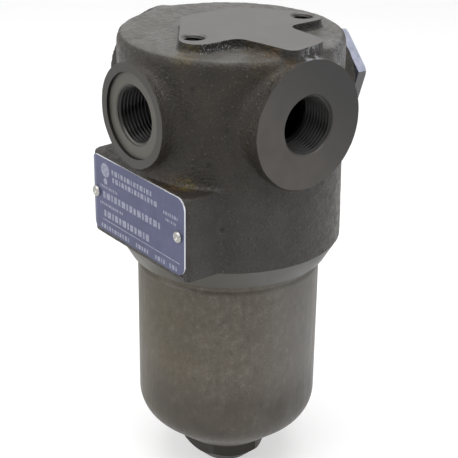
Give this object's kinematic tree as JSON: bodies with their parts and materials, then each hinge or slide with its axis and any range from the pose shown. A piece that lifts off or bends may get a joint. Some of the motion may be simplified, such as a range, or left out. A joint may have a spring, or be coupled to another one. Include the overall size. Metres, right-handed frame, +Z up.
{
  "type": "hydraulic pressure filter",
  "caption": "Inline high-pressure oil filter: cast head with side ports, screwed steel bowl with hexagon foot, plugged indicator port, data plate, bypass valve and element inside.",
  "frame": {"origin": "centre of the lower face of the bowl's hexagon foot", "axes": "+Z up the bowl's axis towards the mounting pad; +X out of the large port boss; -Y out of the port above the data plate"},
  "size_m": [0.1078, 0.1149, 0.2182],
  "materials": {
    "head_iron": "rough cast, dark surface treatment",
    "bowl_steel": "turned, phosphated",
    "plate_sheet": "printed, satin",
    "pin_steel": "plain",
    "plug_steel": "zinc plated",
    "seal_rubber": "matt black",
    "backup_plastic": "plain",
    "valve_steel": "machined",
    "spring_steel": "drawn wire",
    "cap_sheet": "satin",
    "core_steel": "zinc plated",
    "filter_sheet": "pleated fibre"
  },
  "bodies": {
    "head": {"filter_head": "head_iron", "data_plate": "plate_sheet", "plate_pin_left": "pin_steel", "plate_pin_right": "pin_steel", "bypass_seat": "valve_steel", "bypass_spring": "spring_steel", "bypass_spring_retainer": "valve_steel", "bypass_retaining_ring": "spring_steel", "element_top_cap": "cap_sheet", "element_o_ring": "seal_rubber", "element_core_tube": "core_steel", "element_pleat_pack": "filter_sheet", "element_bottom_cap": "cap_sheet"},
    "bowl_seals": {"bowl_o_ring": "seal_rubber", "bowl_backup_ring": "backup_plastic"},
    "bowl": {"bowl": "bowl_steel"},
    "plug_seals": {"plug_face_seal": "seal_rubber", "plug_nose_o_ring": "seal_rubber"},
    "plug": {"indicator_port_plug": "plug_steel"},
    "poppet": {"bypass_poppet": "valve_steel"}
  },
  "joints": [
    {"name": "bowl_travel", "type": "slide", "parent": "head", "child": "bowl_seals", "axis": [0, 0, -1], "range_m": [0, 0.015]},
    {"name": "bowl_turn", "type": "hinge", "parent": "bowl_seals", "child": "bowl", "pos_m": [0, 0, 0], "axis": [0, 0, -1], "range_deg": [0, 2700]},
    {"name": "plug_travel", "type": "slide", "parent": "head", "child": "plug_seals", "axis": [0, 1, 0], "range_m": [0, 0.012]},
    {"name": "plug_turn", "type": "hinge", "parent": "plug_seals", "child": "plug", "pos_m": [0, 0.055, 0.185], "axis": [0, 1, 0], "range_deg": [0, 2880]},
    {"name": "poppet_lift", "type": "slide", "parent": "head", "child": "poppet", "axis": [0, 0, -1], "range_m": [0, 0.004], "stiffness_N_per_m": 8000, "springref_m": -0.01, "deforming": ["bypass_spring"]}
  ],
  "couplings": [
    {"joint": "bowl_travel", "follows": "bowl_turn", "m_per_rad": 0.0003183},
    {"joint": "plug_travel", "follows": "plug_turn", "m_per_rad": 0.00023873}
  ]
}
